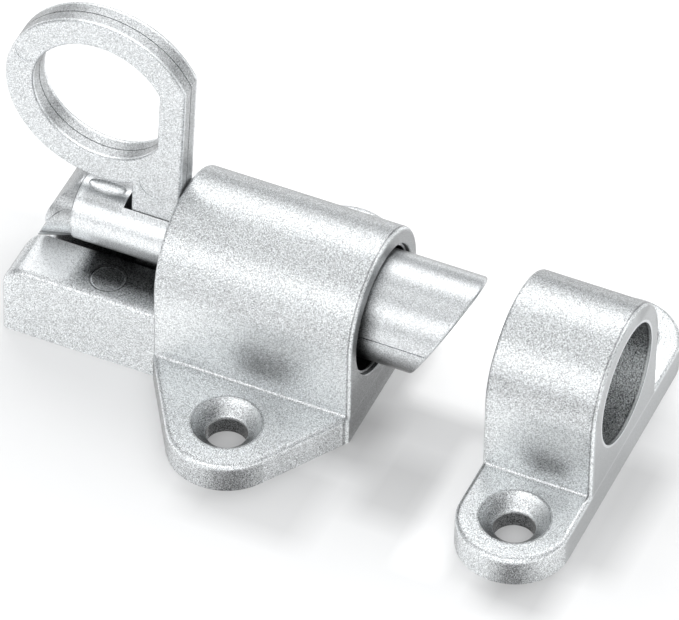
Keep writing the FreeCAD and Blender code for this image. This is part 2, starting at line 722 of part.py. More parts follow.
tie(bevel_sketch, ((bevel_line, 2), (top_line, 1)), ((top_line, 2), (right_line, 1)), ((right_line, 2), (low_line, 1)),
    ((low_line, 2), (bevel_line, 1)))
upright(bevel_sketch, right_line)
level(bevel_sketch, top_line, low_line)
MIDDLE_X = "dims.barrel_front + dims.nose_reach"
RUN = "(dims.nose_radius + 1) * tan(dims.bevel_angle * 1deg)"
across(bevel_sketch, (bevel_line, 1), MIDDLE_X + " - " + RUN)
up(bevel_sketch, (bevel_line, 1), "dims.nose_height - dims.nose_radius - 1")
across(bevel_sketch, (bevel_line, 2), MIDDLE_X + " + " + RUN)
up(bevel_sketch, (bevel_line, 2), "dims.nose_height + dims.nose_radius + 1")
across(bevel_sketch, (right_line, 1), MIDDLE_X + " + 2 * " + RUN)
bevel = pocket(nose, "bevel", bevel_sketch, "dims.nose_radius * 4", symmetric=True)


def bevel_rim(edge):
    return edge.BoundBox.XMin > val("barrel_front") and edge.BoundBox.ZLength > val("nose_radius")


dress(nose, "Fillet", "bevel_edge", bevel, bevel_rim, "dims.nose_edge")

shaft = rod("shaft", ALONG_X, "dims.shaft_radius", "dims.shoulder_x - dims.shaft_end_x + dims.nose_inside / 2",
            "dims.shaft_end_x", "0", "dims.shaft_height")
foot = block("foot", "dims.foot_length", "dims.foot_half_width * 2",
             "dims.shaft_height - dims.stem_half_width - dims.stem_end_play - dims.slot_floor - dims.foot_gap",
             "dims.back_x - dims.foot_gap - dims.foot_length", "-dims.foot_half_width",
             "dims.slot_floor + dims.foot_gap")

END_BACK = "dims.shaft_end_x - dims.shaft_radius * 2"


def end_disc(name, reach, ahead, drop):
    """Round outline of the end in side view."""
    return rod(name, ALONG_Y, reach, "dims.shaft_radius * 4", "dims.shaft_end_x + " + ahead,
               "-dims.shaft_radius * 2", "dims.shaft_height - (%s)" % drop)


def flared_bar(name, front_radius):
    """Bar on the shaft's axis that widens to the rear."""
    item = doc.addObject("Part::Cone", name)
    item.Placement.Rotation = ALONG_X
    item.setExpression("Radius1", front_radius + " + dims.shaft_radius * 2 * tan(dims.ridge_flare * 1deg)")
    item.setExpression("Radius2", front_radius)
    item.setExpression("Height", "dims.shaft_radius * 2")
    place(item, END_BACK, "0", "dims.shaft_height")
    return item


def ridge_disc(name, i):
    return end_disc(name, "dims.ridge_radius", "dims.ridge_ahead - %d * dims.ridge_set_back" % i,
                    "dims.ridge_drop + %d * dims.ridge_pitch" % i)


hump_bar = rod("hump_bar", ALONG_X, "dims.shaft_radius - dims.hump_inset", "dims.shaft_radius * 2", END_BACK, "0",
               "dims.shaft_height")
hump = shared("hump", end_disc("hump_disc", "dims.hump_radius", "dims.hump_ahead", "dims.hump_drop"), hump_bar)
overhang = cut("overhang", hump, ridge_disc("hump_end", 0))
ridges = [shared("ridge_%d" % (i + 1), ridge_disc("ridge_%d_disc" % (i + 1), i),
                 flared_bar("ridge_%d_bar" % (i + 1), "dims.shaft_radius - dims.ridge_inset"))
          for i in range(3)]
end_room = block("end_room", "dims.shaft_radius * 2", "dims.shaft_radius * 4", "dims.shaft_radius * 3", END_BACK,
                 "-dims.shaft_radius * 2", "dims.tail_height + dims.grip_gap")
ridged_end = shared("ridged_end", join("end_layers", overhang, *ridges), end_room)
neck = cut("neck", rod("neck_disc", ALONG_X, "dims.shaft_radius * 2", "dims.neck_width",
                       "dims.shaft_end_x - dims.neck_width", "0", "dims.shaft_height"),
           rod("neck_core", ALONG_X, "dims.shaft_radius - dims.neck_depth", "dims.shaft_radius * 2", END_BACK, "0",
               "dims.shaft_height"))
necked_end = cut("necked_end", ridged_end, neck)

casting = join("bolt_casting", nose, shaft, foot, necked_end)
stem_slot = block("stem_slot", "dims.stem_half_width * 2 + dims.stem_front_room + dims.stem_back_room",
                  "dims.ring_thickness + dims.stem_side_play * 2", "dims.shaft_radius * 3",
                  "dims.pivot_x - dims.stem_half_width - dims.stem_back_room",
                  "-dims.ring_thickness / 2 - dims.stem_side_play",
                  "dims.shaft_height - dims.stem_half_width - dims.stem_end_play")
PIN_START = "-dims.shaft_radius + dims.pin_blind_wall"
PIN_LENGTH = "2 * dims.shaft_radius - dims.pin_blind_wall - dims.pin_recess"
pin_hole = rod("pin_hole", ALONG_Y, "dims.pin_radius", "2 * dims.shaft_radius - dims.pin_blind_wall + 1",
               "dims.pivot_x", PIN_START, "dims.shaft_height")
relief = doc.addObject("Part::Ellipsoid", "rim_relief")
relief.Angle1 = -90
relief.Angle2 = 90
relief.setExpression("Radius1", "dims.relief_depth")
relief.setExpression("Radius2", "dims.relief_half_length")
relief.setExpression("Radius3", "dims.relief_half_width")
place(relief, "dims.back_x - dims.relief_back", "0", "dims.shaft_height + dims.shaft_radius")
seams = [block("seam_%s" % name, "dims.nose_tip_x", "dims.seam_depth * 4", "dims.seam_width", "dims.shoulder_x",
               "dims.nose_radius * %d - dims.seam_depth * 2" % side, "dims.shaft_height - dims.seam_width / 2")
         for name, side in (("near", -1), ("far", 1))]
bolt = cut("bolt", casting, stem_slot, pin_hole, relief, *seams)
bolt.Label = "bolt"

# Cross pin, pressed into the shaft from the far side
ring_pin = rod("ring_pin", ALONG_Y, "dims.pin_radius", PIN_LENGTH, "dims.pivot_x", PIN_START, "dims.shaft_height")
ring_pin.Label = "ring_pin"

# Return spring on the shaft, between the barrel's back wall and the nose
coil = doc.addObject("Part::Helix", "coil_line")
SPRING_LENGTH = "(dims.shoulder_x - dims.inner_back_x - 2 * dims.wire_radius - 2 * dims.spring_end_play)"
coil.setExpression("Radius", "dims.shaft_radius + dims.spring_play + dims.wire_radius")
coil.setExpression("Height", SPRING_LENGTH)
coil.setExpression("Pitch", SPRING_LENGTH + " / dims.spring_turns")
coil.SegmentLength = 1.0
wire = doc.addObject("Part::Circle", "wire_section")
wire.Placement.Rotation = FreeCAD.Rotation(FreeCAD.Vector(1, 0, 0), 90)
wire.setExpression("Radius", "dims.wire_radius")
wire.setExpression("Placement.Base.x", "dims.shaft_radius + dims.spring_play + dims.wire_radius")
spring = doc.addObject("Part::Sweep", "return_spring")
spring.Sections = [wire]
spring.Spine = (coil, [])
spring.Solid = True
spring.Frenet = True
spring.Label = "return_spring"
spring.Placement = FreeCAD.Placement(FreeCAD.Vector(0, 0, 0), ALONG_X)
place(spring, "dims.inner_back_x + dims.wire_radius + dims.spring_end_play", "0", "dims.shaft_height")
doc.recompute()

NODES = {"latch_body": latch, "bolt": bolt, "return_spring": spring, "pull_ring": ring, "ring_pin": ring_pin,
         "keeper": keeper}

for item in doc.Objects:
    bad = [word for word in item.State if word in ("Invalid", "Error")]
    if bad:
        raise RuntimeError("%s is %s" % (item.Name, bad))
for node, item in NODES.items():
    shape = item.Shape
    if shape.isNull() or not shape.isValid() or len(shape.Solids) != 1:
        raise RuntimeError("%s has %d solids, valid %s" % (node, len(shape.Solids), shape.isValid()))
for node, item in NODES.items():
    item.Shape.exportStep("parts/%s.step" % node)
    box = item.Shape.BoundBox
    print("%-14s %9.1f mm3  x %.2f..%.2f  y %.2f..%.2f  z %.2f..%.2f" % (
        node, item.Shape.Volume, box.XMin, box.XMax, box.YMin, box.YMax, box.ZMin, box.ZMax))
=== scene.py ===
import math

import bmesh
import bpy
from mathutils import Matrix, Vector


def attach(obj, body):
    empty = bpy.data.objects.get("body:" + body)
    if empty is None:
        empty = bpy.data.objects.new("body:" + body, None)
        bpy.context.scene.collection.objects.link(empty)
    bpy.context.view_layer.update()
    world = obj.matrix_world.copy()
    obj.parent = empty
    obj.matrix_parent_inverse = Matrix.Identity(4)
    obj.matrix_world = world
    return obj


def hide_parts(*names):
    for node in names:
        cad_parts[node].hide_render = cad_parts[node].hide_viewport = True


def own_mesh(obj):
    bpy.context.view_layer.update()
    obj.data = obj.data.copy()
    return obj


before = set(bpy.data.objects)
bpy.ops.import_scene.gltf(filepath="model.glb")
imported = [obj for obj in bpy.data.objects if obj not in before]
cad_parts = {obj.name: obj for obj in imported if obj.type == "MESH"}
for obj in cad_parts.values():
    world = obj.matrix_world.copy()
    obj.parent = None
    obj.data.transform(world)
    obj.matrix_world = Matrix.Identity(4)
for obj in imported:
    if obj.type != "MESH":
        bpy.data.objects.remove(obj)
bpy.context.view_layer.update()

MM = 0.001
scene = bpy.context.scene
scene.view_settings.view_transform = "Standard"

# Camera of the photograph, fitted to the outlines: it looks down from the front right
CAMERA_PLACE = Vector((239.75, -543.31, 599.27)) * MM
CAMERA_AZIMUTH = math.radians(23.25)
CAMERA_ELEVATION = math.radians(44.92)
CAMERA_ROLL = math.radians(0.97)
IMAGE_WIDTH = 679
FOCAL_PIXELS = 8000
SENSOR_WIDTH = 36
CLIP_END = 10


def look_from(azimuth, elevation, roll):
    """Rotation of a camera that looks down on the object from that side."""
    back = Vector((math.sin(azimuth) * math.cos(elevation), -math.cos(azimuth) * math.cos(elevation),
                   math.sin(elevation)))
    right = Vector((math.cos(azimuth), math.sin(azimuth), 0))
    up = back.cross(right)
    tilted_right = math.cos(roll) * right + math.sin(roll) * up
    tilted_up = math.cos(roll) * up - math.sin(roll) * right
    return Matrix((tilted_right, tilted_up, back)).transposed()


camera_data = bpy.data.cameras.new("camera")
camera_data.sensor_width = SENSOR_WIDTH
camera_data.lens = SENSOR_WIDTH * FOCAL_PIXELS / IMAGE_WIDTH
camera_data.clip_end = CLIP_END
camera = bpy.data.objects.new("camera", camera_data)
scene.collection.objects.link(camera)
camera.matrix_world = Matrix.Translation(CAMERA_PLACE) @ look_from(
    CAMERA_AZIMUTH, CAMERA_ELEVATION, CAMERA_ROLL).to_4x4()
scene.camera = camera


# Node helpers
def feed(tree, source, target):
    """Link a socket to the target, or set the target to a plain value."""
    if isinstance(source, bpy.types.NodeSocket):
        tree.links.new(source, target)
    else:
        target.default_value = source


def add_node(tree, kind, **values):
    """New node with its settings and socket values given by name."""
    node = tree.nodes.new(kind)
    for name, value in values.items():
        if hasattr(node, name):
            setattr(node, name, value)
        else:
            feed(tree, value, node.inputs[name.replace("_", " ")])
    return node


def compute(tree, operation, *operands, clamp=False):
    """Result of a math node on sockets and plain numbers."""
    node = add_node(tree, "ShaderNodeMath", operation=operation, use_clamp=clamp)
    for target, operand in zip(node.inputs, operands):
        feed(tree, operand, target)
    return node.outputs["Value"]


def compute_vector(tree, operation, *operands, result="Vector"):
    """Result of a vector math node on sockets."""
    node = add_node(tree, "ShaderNodeVectorMath", operation=operation)
    for target, operand in zip(node.inputs, operands):
        feed(tree, operand, target)
    return node.outputs[result]


def split(tree, vector):
    return add_node(tree, "ShaderNodeSeparateXYZ", Vector=vector).outputs


def new_material(name):
    material = bpy.data.materials.new(name)
    material.use_nodes = True
    tree = material.node_tree
    tree.nodes.clear()
    output = tree.nodes.new("ShaderNodeOutputMaterial")
    return material, tree, output


def new_group(name, inputs, outputs):
    """Empty node group whose sockets have those names and kinds."""
    tree = bpy.data.node_groups.new(name, "ShaderNodeTree")
    for in_out, sockets in (("INPUT", inputs), ("OUTPUT", outputs)):
        for socket, kind in sockets.items():
            tree.interface.new_socket(socket, in_out=in_out, socket_type="NodeSocket" + kind)
    inlet = tree.nodes.new("NodeGroupInput").outputs
    outlet = tree.nodes.new("NodeGroupOutput").inputs
    return tree, inlet, outlet


def add_group(tree, group, inputs):
    """Outputs of a group placed in the tree, with its inputs linked or set."""
    node = tree.nodes.new("ShaderNodeGroup")
    node.node_tree = group
    for name, value in inputs.items():
        feed(tree, value, node.inputs[name])
    return node.outputs


# Grain of the sprayed satin finish: fine metal flakes that glint or fall dark
FLAKE_TURN = (0.6, 0.4, 0.9)
MEAN_NOISE = 0.5
GLINT_POWER = 0.6
COAT_TINT = {"Red": 0.975, "Green": 1.0, "Blue": 1.015}
PATCH_SCALE = 260.0
PATCH_ROUGHNESS = 0.08


def make_flake_grain():
    tree, inlet, outlet = new_group(
        "flake_grain",
        {"Vector": "Vector", "Flake Scale": "Float", "Contrast": "Float", "Base Tone": "Float",
         "Base Roughness": "Float", "Shade": "Float"},
        {"Color": "Color", "Roughness": "Float", "Height": "Float"})
    # Turned askew, so that no face of the casting lies along the grid of the flakes
    turned = add_node(tree, "ShaderNodeMapping", Rotation=FLAKE_TURN, Vector=inlet["Vector"])
    askew = turned.outputs["Vector"]
    # Each flake has a cell of its own and one tone
    stretched = add_node(tree, "ShaderNodeVectorMath", operation="SCALE", Vector=askew,
                         Scale=inlet["Flake Scale"])
    cell = compute_vector(tree, "FLOOR", stretched.outputs["Vector"])
    flakes = add_node(tree, "ShaderNodeTexWhiteNoise", noise_dimensions="3D", Vector=cell)
    relief = add_node(tree, "ShaderNodeTexNoise", Vector=askew, Scale=inlet["Flake Scale"],
                      Detail=1.0, Roughness=0.5)
    spread = compute(tree, "MULTIPLY", compute(tree, "SUBTRACT", flakes.outputs["Value"], MEAN_NOISE),
                     inlet["Contrast"])
    # The base tone times the painted shade and painted highlights of the Shade input
    tone = compute(tree, "MULTIPLY", inlet["Base Tone"], inlet["Shade"])
    # The flakes still glint where the painted shade darkens the coat
    glint = compute(tree, "POWER", inlet["Shade"], GLINT_POWER)
    shaded = compute(tree, "MULTIPLY_ADD", spread, glint, tone, clamp=True)
    tint = tree.nodes.new("ShaderNodeCombineColor")
    for channel, share in COAT_TINT.items():
        feed(tree, compute(tree, "MULTIPLY", shaded, share), tint.inputs[channel])
    # Soft patches where the coat is a little duller
    patches = add_node(tree, "ShaderNodeTexNoise", Vector=inlet["Vector"], Scale=PATCH_SCALE,
                       Detail=3.0, Roughness=0.5)
    dull = compute(tree, "MULTIPLY_ADD", patches.outputs["Fac"], PATCH_ROUGHNESS, inlet["Base Roughness"])
    feed(tree, tint.outputs["Color"], outlet["Color"])
    feed(tree, dull, outlet["Roughness"])
    feed(tree, relief.outputs["Fac"], outlet["Height"])
    return tree


# Shade of a box given in metres, with soft sides: 1 outside it and the depth value within
def make_box_shade():
    tree, inlet, outlet = new_group(
        "box_shade",
        {"Vector": "Vector", "Low": "Vector", "High": "Vector", "Softness": "Vector", "Depth": "Float"},
        {"Shade": "Float"})
    above = compute_vector(tree, "SUBTRACT", inlet["Vector"], inlet["Low"])
    below = compute_vector(tree, "SUBTRACT", inlet["High"], inlet["Vector"])
    margin = compute_vector(tree, "MINIMUM", above, below)
    eased = compute_vector(tree, "DIVIDE", margin, inlet["Softness"])
    # Adding nothing keeps each share between 0 and 1
    shares = [compute(tree, "ADD", part, 0.0, clamp=True) for part in split(tree, eased)]
    amount = compute(tree, "MULTIPLY", compute(tree, "MULTIPLY", shares[0], shares[1]), shares[2])
    loss = compute(tree, "SUBTRACT", inlet["Depth"], 1.0)
    feed(tree, compute(tree, "MULTIPLY_ADD", amount, loss, 1.0), outlet["Shade"])
    return tree


# Place along X and distance from the line at that height, for shades inside round holes
def make_axis_place():
    tree, inlet, outlet = new_group(
        "axis_place", {"Vector": "Vector", "Height": "Float"}, {"Vector": "Vector"})
    parts = split(tree, inlet["Vector"])
    rise = compute(tree, "SUBTRACT", parts["Z"], inlet["Height"])
    across = add_node(tree, "ShaderNodeCombineXYZ", Y=parts["Y"], Z=rise)
    distance = compute_vector(tree, "LENGTH", across.outputs["Vector"], result="Value")
    place = add_node(tree, "ShaderNodeCombineXYZ", X=parts["X"], Y=distance)
    feed(tree, place.outputs["Vector"], outlet["Vector"])
    return tree


# Height and distance from upright lines at Across and, alike on both sides, plus and minus Aside
def make_upright_place():
    tree, inlet, outlet = new_group(
        "upright_place", {"Vector": "Vector", "Across": "Float", "Aside": "Float"}, {"Vector": "Vector"})
    parts = split(tree, inlet["Vector"])
    flat = add_node(tree, "ShaderNodeCombineXYZ", X=parts["X"], Y=compute(tree, "ABSOLUTE", parts["Y"]))
    centre = add_node(tree, "ShaderNodeCombineXYZ", X=inlet["Across"], Y=inlet["Aside"])
    distance = compute_vector(tree, "DISTANCE", flat.outputs["Vector"], centre.outputs["Vector"],
                              result="Value")
    place = add_node(tree, "ShaderNodeCombineXYZ", X=parts["Z"], Y=distance)
    feed(tree, place.outputs["Vector"], outlet["Vector"])
    return tree


FLAKE_GRAIN = make_flake_grain()
BOX_SHADE = make_box_shade()
AXIS_PLACE = make_axis_place()
UPRIGHT_PLACE = make_upright_place()


def multiply_shades(tree, where, rows, total=None):
    """Product of the shades of rows at that place, and of total if given."""
    for low, high, softness, depth, *axis in rows:
        place = where
        if len(axis) == 1:
            place = add_group(tree, AXIS_PLACE, {"Vector": where, "Height": axis[0] * MM})["Vector"]
        elif axis:
            upright = {"Vector": where, "Across": axis[0] * MM, "Aside": axis[1] * MM}
            place = add_group(tree, UPRIGHT_PLACE, upright)["Vector"]
        box = {"Vector": place, "Low": Vector(low) * MM, "High": Vector(high) * MM,
               "Softness": Vector(softness) * MM, "Depth": depth}
        shade = add_group(tree, BOX_SHADE, box)["Shade"]
        total = shade if total is None else compute(tree, "MULTIPLY", total, shade)
    return total


# Painted shade at an outline: the coat is darkened where the face turns edge on. Facing is 0 straight on
# and 1 edge on
OUTLINE_START = 0.66
OUTLINE_END = 0.97
OUTLINE_SHADE = 0.3
BUMP_DISTANCE = 0.05 * MM


def silver_coat_with_painted_light(name, tone, roughness, contrast, bump, flake_scale, shades=(), grain_shares=(),
                  matt_places=()):
    """Satin silver coat on a casting, with painted shade at its outlines and rows for its painted shade and
    painted highlights, its grain and where it is matt.
    """
    material, tree, output = new_material(name)
    place = tree.nodes.new("ShaderNodeTexCoord").outputs["Object"]
    # Painted shade: the base colour is darkened towards the outlines, by how far the face looks away
    facing = add_node(tree, "ShaderNodeLayerWeight", Blend=0.5)
    turned = add_node(tree, "ShaderNodeMapRange", clamp=True, Value=facing.outputs["Facing"],
                      From_Min=OUTLINE_START, From_Max=OUTLINE_END, To_Min=1.0, To_Max=OUTLINE_SHADE)
    shade = multiply_shades(tree, place, shades, turned.outputs["Result"])
    if grain_shares:
        contrast = compute(tree, "MULTIPLY", multiply_shades(tree, place, grain_shares), contrast)
    grain = add_group(tree, FLAKE_GRAIN, {
        "Vector": place, "Flake Scale": flake_scale, "Contrast": contrast, "Base Tone": tone,
        "Base Roughness": roughness, "Shade": shade})
    relief = add_node(tree, "ShaderNodeBump", Strength=bump, Distance=BUMP_DISTANCE, Height=grain["Height"])
    metallic = multiply_shades(tree, place, matt_places) if matt_places else 1.0
    shader = add_node(tree, "ShaderNodeBsdfPrincipled", Metallic=metallic, Base_Color=grain["Color"],
                      Roughness=grain["Roughness"], Normal=relief.outputs["Normal"])
    feed(tree, shader.outputs["BSDF"], output.inputs["Surface"])
    return material


def both_sides(low, high, softness, depth):
    """A row of the far side, and before it the same on the near side."""
    near_low = (low[0], -high[1], low[2])
    near_high = (high[0], -low[1], high[2])
    return (near_low, near_high, softness, depth), (low, high, softness, depth)


# Painted shade and painted highlights: where the coat is painted darker or brighter for the light that
# falls on it. Each row is low, high and softness in mm and the depth. A fifth value is the height of a
# round hole's axis, and then the second column is the distance from it. A fifth and sixth are the place of
# an upright axis, and then the columns are the height and the distance.
BODY_PAINTED_LIGHT = (
    # Painted shade in the slot and the bore
    ((-29.3, -2.2, 1.0), (-11.2, 2.2, 8.8), (0.6, 0.12, 1.2), 0.1),
    ((-11.3, -9.0, -1.0), (10.85, 6.9, 1.0), (0.2, 0.05, 0.1), 0.06, 11.8),
    ((10.8, 7.06, -1.0), (11.3, 7.4, 1.0), (0.05, 0.04, 0.1), 0.15, 11.8),
    # Top of the tail: painted dark reflection towards the barrel and painted highlight at the rear
    ((-21.9, -8.2, 8.7), (-10.0, 8.2, 9.3), (1.6, 3.0, 0.1), 0.1),
    ((-29.5, -8.0, 8.7), (-21.6, 8.0, 9.3), (1.0, 0.8, 0.1), 1.6),
    # Painted shade on the barrel's far side and shoulders
    ((-11.5, 1.4, 17.5), (11.3, 8.0, 21.2), (0.1, 1.4, 0.8), 0.86),
    *both_sides((-11.5, 7.8, 12.6), (11.3, 9.2, 16.0), (0.1, 0.4, 1.2), 0.87),
    # Walls over the ears: painted highlight, and a painted dark reflection in the middle
    *both_sides((-11.3, 8.3, 3.4), (11.5, 8.9, 12.8), (1.0, 0.1, 1.5), 1.2),
    *both_sides((-3.4, 8.3, 3.2), (7.4, 8.9, 10.4), (3.9, 0.1, 2.8), 0.6),
    # Ears: painted highlights on the tops, painted shade on the sides and in the hole walls
    ((-11.2, -16.0, 3.5), (11.2, -8.7, 3.7), (0.5, 3.0, 0.05), 1.25),
    ((-11.2, 8.7, 3.5), (11.2, 16.0, 3.7), (0.5, 3.0, 0.05), 1.2),
    *both_sides((-12.0, 9.5, -0.5), (12.0, 21.5, 3.1), (0.1, 0.1, 0.4), 0.84),
    ((-0.2, -21.2, -0.5), (6.5, -17.5, 3.2), (2.8, 0.3, 0.4), 0.42),
    ((-2.3, -17.0, -0.5), (2.3, 17.0, 2.1), (0.1, 0.1, 0.4), 0.16),
    # Countersinks: painted shade on the left and painted highlight on the right
    *both_sides((-4.0, 10.6, 2.0), (-0.6, 18.4, 3.57), (1.6, 0.6, 0.05), 0.62),
    *both_sides((0.6, 10.6, 2.0), (4.0, 18.4, 3.57), (1.2, 0.6, 0.05), 1.35),
    # Painted dark and bright lines at the rims of the countersinks and of the round marks on the tail
    ((3.3, 3.66, -1.0), (3.7, 3.98, 1.0), (0.1, 0.08, 0.1), 0.62, 0.0, 14.5),
    ((1.6, 2.2, -1.0), (2.3, 2.5, 1.0), (0.2, 0.1, 0.1), 1.5, 0.0, 14.5),
    ((8.6, 1.66, -1.0), (9.2, 1.9, 1.0), (0.1, 0.08, 0.1), 2.6, -17.9, 5.2),
    ((8.6, 1.9, -1.0), (9.2, 2.12, 1.0), (0.1, 0.08, 0.1), 0.35, -17.9, 5.2),
    # Painted highlights along the edges of the ears, and a painted dark line and a painted highlight at the
    # barrel's mouth end
    ((-12.0, -21.5, 3.1), (12.0, 21.5, 3.52), (0.1, 0.1, 0.08), 1.22),
    ((10.88, -9.5, -1.0), (11.12, 9.5, 22.0), (0.08, 0.1, 0.1), 0.5),
    ((11.12, -9.5, -1.0), (11.36, 9.5, 22.0), (0.06, 0.1, 0.1), 1.3),
    # Painted shade on the front face, deeper low down
    ((11.3, -9.0, -1.0), (11.5, 9.0, 22.0), (0.1, 0.1, 0.1), 0.53),
    ((11.3, -9.5, -1.0), (11.5, 9.5, 9.0), (0.1, 0.1, 2.5), 0.6),
)
KEEPER_PAINTED_LIGHT = (
    # Painted shade on the arch's far side and shoulders
    ((26.0, 1.6, 18.0), (38.8, 8.0, 21.2), (0.1, 1.6, 0.8), 0.72),
    *both_sides((26.0, 7.4, 12.7), (38.8, 9.2, 17.2), (0.1, 0.5, 1.6), 0.8),
    # Bore: painted shade, and painted light towards its foot
    ((26.7, -1.0, -1.0), (38.6, 6.9, 1.0), (0.3, 0.1, 0.1), 0.5, 12.3),
    ((26.7, -6.6, 5.4), (38.6, 6.6, 12.2), (0.3, 0.1, 3.0), 3.0),
    # Painted highlights along the edges of the ears, and a painted dark line and a painted highlight at the
    # arch's front edge
    ((26.0, -21.5, 3.1), (38.8, 21.5, 3.52), (0.1, 0.1, 0.08), 1.22),
    ((38.16, -9.5, 3.4), (38.4, 9.5, 22.0), (0.08, 0.1, 0.1), 0.5),
    ((38.4, -9.5, 3.4), (38.66, 9.5, 22.0), (0.06, 0.1, 0.1), 1.25),
    # Painted shade on the front face and a painted highlight on the rim of the bore
    ((38.6, -21.0, -1.0), (38.9, 21.0, 22.0), (0.05, 0.2, 0.2), 0.74),
    ((38.4, 6.6, -1.0), (38.9, 6.95, 1.0), (0.05, 0.05, 0.1), 1.5, 12.3),
    # Walls over the ears: painted highlight, and a painted dark reflection in the middle
    *both_sides((26.4, 8.4, 3.4), (38.0, 9.0, 12.8), (1.5, 0.1, 1.5), 1.22),
    *both_sides((30.2, 8.4, 3.3), (37.4, 9.0, 8.8), (2.4, 0.1, 2.2), 0.52),
    # Ears: painted highlights on the tops, painted shade on the side and in the hole walls
    *both_sides((26.5, 8.8, 3.5), (38.5, 16.0, 3.7), (0.3, 3.0, 0.05), 1.3),
    ((32.0, -21.0, -0.5), (37.5, -18.0, 3.2), (2.2, 0.3, 0.4), 0.42),
    ((30.2, -17.0, -0.5), (34.9, 17.0, 2.1), (0.1, 0.1, 0.4), 0.16),
    # Countersinks, with a painted dark line at the rim and a painted highlight at the foot
    ((3.3, 3.66, -1.0), (3.7, 3.98, 1.0), (0.1, 0.08, 0.1), 0.62, 32.55, 14.5),
    ((1.6, 2.2, -1.0), (2.3, 2.5, 1.0), (0.2, 0.1, 0.1), 1.5, 32.55, 14.5),
    # Painted highlights on the strip beside the arch and on the right of the ear
    ((26.5, -10.8, 3.5), (38.5, -8.7, 3.7), (0.3, 1.0, 0.05), 1.22),
    ((35.0, -21.0, 3.5), (38.6, -16.2, 3.7), (2.0, 1.5, 0.05), 1.2),
    # Countersinks: painted shade on the left and painted highlight on the right
    ((28.5, -18.4, 2.0), (31.9, -10.6, 3.57), (1.6, 0.6, 0.05), 0.62),
    ((33.2, -18.4, 2.0), (36.6, -10.6, 3.57), (1.2, 0.6, 0.05), 1.35),
)
BOLT_PAINTED_LIGHT = (
    # Painted shade on the foot and the floor of the stem's slot
    ((-22.8, -1.9, 0.0), (-11.0, 1.9, 9.8), (0.3, 0.1, 0.4), 0.15),
    # Painted shade on the nose: far side, inside the mouth and underneath
    ((9.0, 2.8, 14.0), (22.5, 6.5, 20.0), (0.1, 0.6, 0.1), 0.78),
    ((9.0, -7.0, 5.0), (13.4, 7.0, 17.5), (1.6, 0.1, 2.4), 0.35),
    ((9.0, -7.0, 5.0), (22.5, 7.0, 12.5), (0.1, 0.1, 2.6), 0.16),
    # Painted highlight on the shaft
    ((-22.9, -4.0, 9.0), (-11.0, 4.0, 17.0), (0.1, 0.1, 0.1), 1.25),
    ((-22.9, -4.0, 11.4), (-11.0, -2.5, 13.5), (0.1, 0.1, 1.0), 1.15),
    # Painted shade in the scoop under the ring's rim
    ((-22.6, -2.6, 15.2), (-17.6, 2.6, 17.2), (0.8, 0.5, 0.1), 0.75),
    # Rear end: painted shade on the crown, painted highlight over its lower edge, then painted dark ridges
    # with painted highlights on the crests
    ((-27.5, -5.0, 13.2), (-22.97, 5.0, 17.5), (0.1, 0.1, 1.4), 0.62),
    ((-27.5, -5.0, 11.9), (-22.97, 5.0, 12.9), (0.1, 0.1, 0.3), 1.35),
    ((-27.5, -5.0, 10.95), (-22.97, 5.0, 11.65), (0.1, 0.1, 0.2), 0.45),
    ((-27.5, -5.0, 10.6), (-22.97, 5.0, 10.95), (0.1, 0.1, 0.1), 1.4),
    ((-27.5, -5.0, 9.0), (-22.97, 5.0, 10.5), (0.1, 0.1, 0.2), 0.5),
)
# Painted grey shade in a band along the parting line, with a painted highlight line on each side
RING_PAINTED_LIGHT = (
    ((-60.0, -1.2, 8.0), (10.0, 1.2, 60.0), (0.1, 0.1, 0.1), 0.72),
    ((-60.0, -1.47, 8.0), (10.0, -1.2, 60.0), (0.1, 0.06, 0.1), 1.3),
    ((-60.0, 1.2, 8.0), (10.0, 1.47, 60.0), (0.1, 0.06, 0.1), 1.3),
)
# Share of the grain on the smooth front faces and in the coarser bore
BODY_GRAIN = (((11.32, -50.0, -1.0), (11.5, 50.0, 50.0), (0.05, 0.1, 0.1), 0.5),)
KEEPER_GRAIN = (
    ((38.62, -50.0, -1.0), (38.8, 50.0, 50.0), (0.05, 0.1, 0.1), 0.15),
    ((26.7, -1.0, -1.0), (38.4, 6.7, 1.0), (0.2, 0.05, 0.1), 2.2, 12.3),
)
# Share of metal where the coat takes light from all round and doesn't mirror the dark gap beside it
BODY_MATT = (((-29.5, -8.0, 8.7), (-20.9, 8.0, 9.3), (0.6, 0.8, 0.1), 0.3),)
BOLT_MATT = (((-22.9, -4.0, 10.4), (-11.0, -2.4, 13.4), (0.1, 0.4, 1.0), 0.6),)
# Flakes or grains per metre
CASTING_GRAIN = 17000.0
STEEL_GRAIN = 3000.0
body_silver = silver_coat_with_painted_light(
    "body_silver", tone=0.625, roughness=0.32, contrast=0.9, bump=0.35, flake_scale=CASTING_GRAIN,
    shades=BODY_PAINTED_LIGHT, grain_shares=BODY_GRAIN, matt_places=BODY_MATT)
keeper_silver = silver_coat_with_painted_light(
    "keeper_silver", tone=0.63, roughness=0.32, contrast=0.95, bump=0.35, flake_scale=CASTING_GRAIN,
    shades=KEEPER_PAINTED_LIGHT, grain_shares=KEEPER_GRAIN)
bolt_silver = silver_coat_with_painted_light(
    "bolt_silver", tone=0.615, roughness=0.28, contrast=0.6, bump=0.25, flake_scale=CASTING_GRAIN,
    shades=BOLT_PAINTED_LIGHT, matt_places=BOLT_MATT)
ring_silver = silver_coat_with_painted_light(
    "ring_silver", tone=0.62, roughness=0.34, contrast=0.75, bump=0.3, flake_scale=CASTING_GRAIN,
    shades=RING_PAINTED_LIGHT)
wire_steel = silver_coat_with_painted_light(
    "wire_steel", tone=0.6, roughness=0.22, contrast=0.15, bump=0.1, flake_scale=STEEL_GRAIN)
